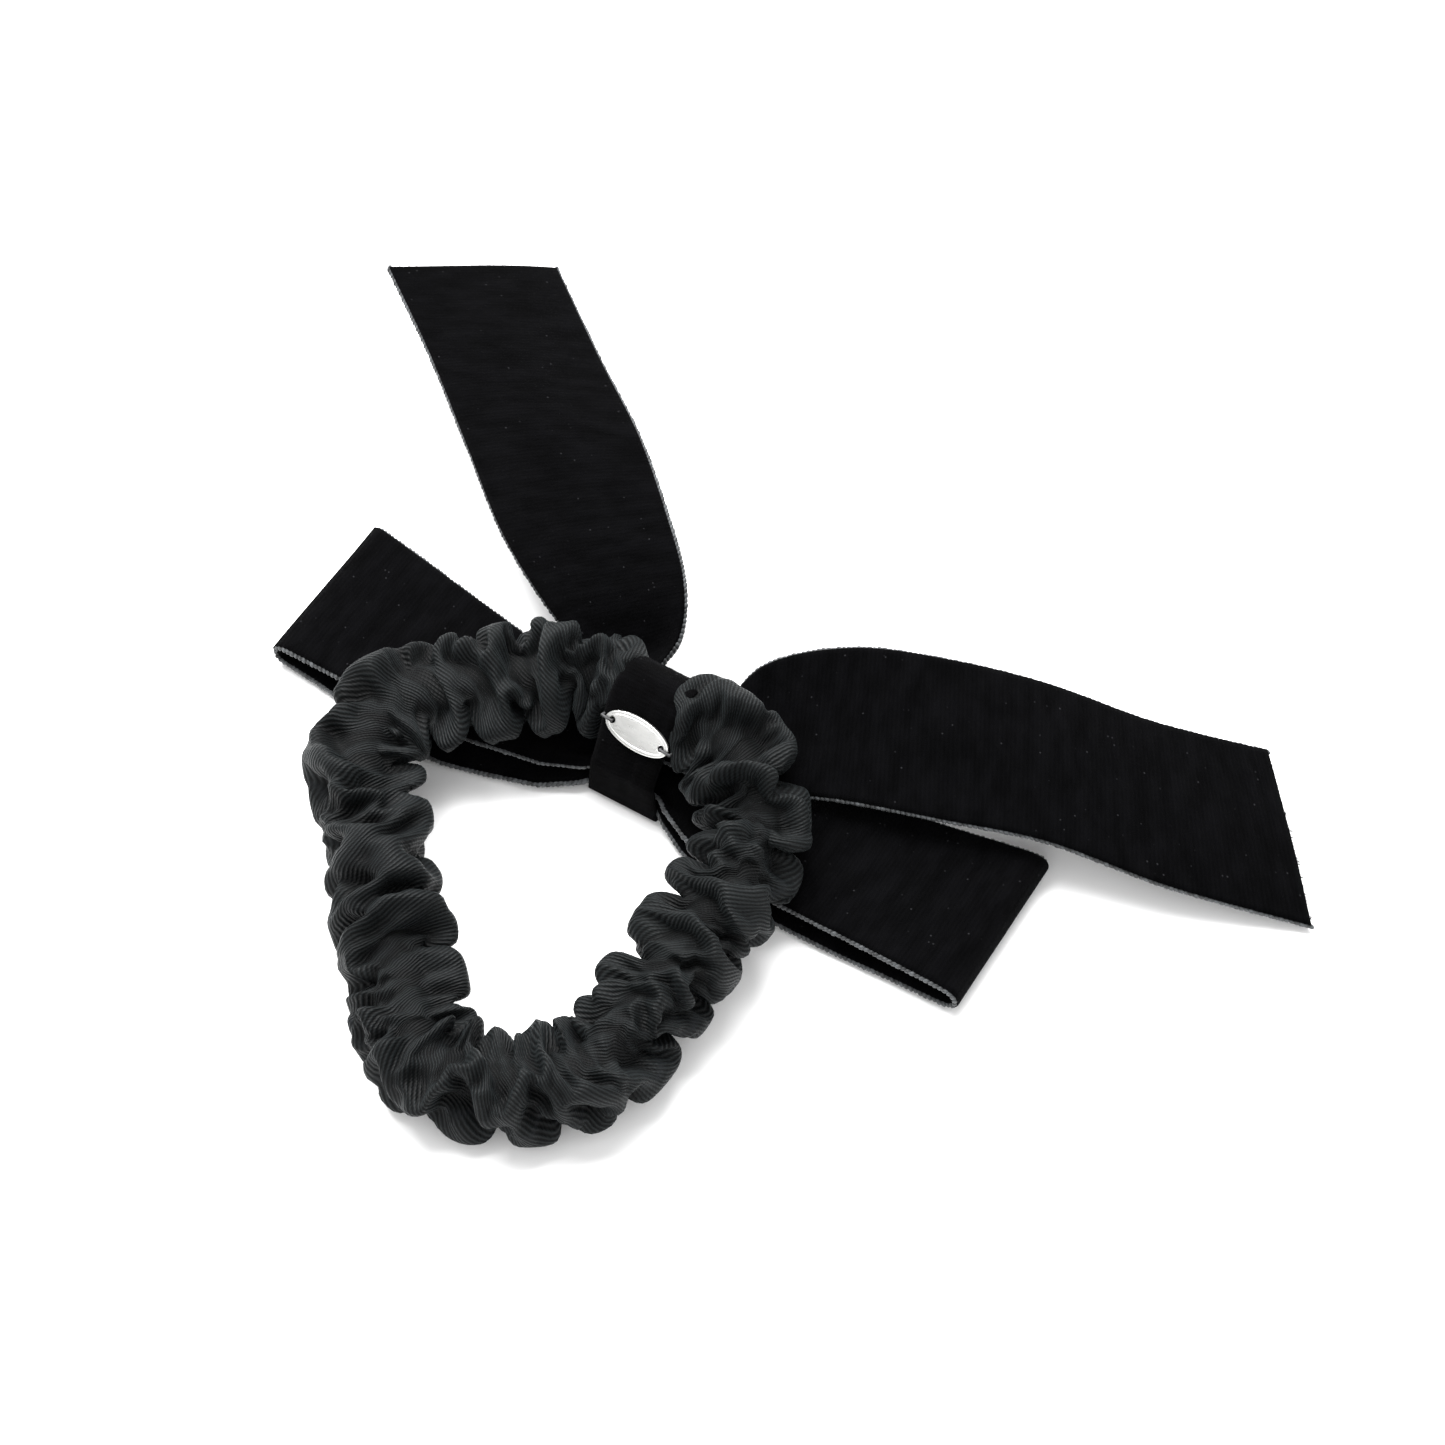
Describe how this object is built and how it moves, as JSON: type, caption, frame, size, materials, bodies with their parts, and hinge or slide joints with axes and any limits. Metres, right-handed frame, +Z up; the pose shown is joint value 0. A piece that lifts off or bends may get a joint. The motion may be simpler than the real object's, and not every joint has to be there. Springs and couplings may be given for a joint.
{
  "type": "scrunchie",
  "caption": "Gathered twill scrunchie with a velvet ribbon bow, a banded knot and a small oval metal tag, for holding a gathered bunch of hair.",
  "frame": {"origin": "middle of the knot band's flat underside, where the bow lies on the table", "axes": "+X along the bow from the left loop to the right loop, -Y from the knot to the front of the gathered ring, +Z up from the table"},
  "size_m": [0.1701, 0.1279, 0.0188],
  "materials": {
    "velvet": "black cut-pile velvet ribbon with woven edges",
    "twill": "black twill with a soft sheen",
    "thread": "black sewing thread",
    "tag_metal": "silver-coloured satin metal",
    "elastic": "braided round elastic"
  },
  "bodies": {
    "bow_knot": {"knot_band": "velvet", "band_seam_thread": "thread", "metal_tag": "tag_metal", "tag_thread_left": "thread", "tag_thread_right": "thread", "waist_binding_thread": "thread", "loops_waist": "velvet", "tails_waist": "velvet"},
    "loop_left": {"loop_left": "velvet"},
    "loop_right": {"loop_right": "velvet"},
    "tail_left": {"tail_left": "velvet"},
    "tail_right": {"tail_right": "velvet"},
    "ring_back": {"casing_back": "twill", "casing_closing_stitches": "thread", "elastic_back": "elastic", "elastic_join": "thread"},
    "ring_left": {"casing_left": "twill", "elastic_left": "elastic"},
    "ring_right": {"casing_right": "twill", "elastic_right": "elastic"},
    "ring_front": {"casing_front": "twill", "elastic_front": "elastic"}
  },
  "joints": [
    {"name": "ring_swing", "type": "hinge", "parent": "bow_knot", "child": "ring_back", "pos_m": [0, 0.0005, 0.013], "axis": [-1, 0, 0], "range_deg": [0, 90]},
    {"name": "ring_stretch", "type": "slide", "parent": "ring_back", "child": "ring_front", "axis": [0, -1, 0], "range_m": [0, 0.06], "stiffness_N_per_m": 80},
    {"name": "ring_left_give", "type": "slide", "parent": "ring_back", "child": "ring_left", "axis": [0, -1, 0], "range_m": [0, 0.03]},
    {"name": "ring_right_give", "type": "slide", "parent": "ring_back", "child": "ring_right", "axis": [0, -1, 0], "range_m": [0, 0.03]},
    {"name": "tail_left_bend", "type": "hinge", "parent": "bow_knot", "child": "tail_left", "pos_m": [-0.0155, 0.01425, 0.0125], "axis": [0.8215, 0.4591, 0.3383], "range_deg": [-8, 50], "stiffness_Nm_per_rad": 0.02},
    {"name": "tail_right_bend", "type": "hinge", "parent": "bow_knot", "child": "tail_right", "pos_m": [0.0235, 0.0125, 0.0115], "axis": [0.4062, -0.8575, -0.3159], "range_deg": [0, 50], "stiffness_Nm_per_rad": 0.02},
    {"name": "loop_left_sway", "type": "hinge", "parent": "bow_knot", "child": "loop_left", "pos_m": [-0.006, -0.003, 0.0026], "axis": [0, 0, -1], "range_deg": [-6, 8], "stiffness_Nm_per_rad": 0.01},
    {"name": "loop_right_sway", "type": "hinge", "parent": "bow_knot", "child": "loop_right", "pos_m": [0.006, -0.003, 0.0026], "axis": [0, 0, 1], "range_deg": [-6, 8], "stiffness_Nm_per_rad": 0.01}
  ],
  "couplings": [
    {"joint": "ring_left_give", "follows": "ring_stretch", "ratio": 0.5},
    {"joint": "ring_right_give", "follows": "ring_stretch", "ratio": 0.5}
  ]
}
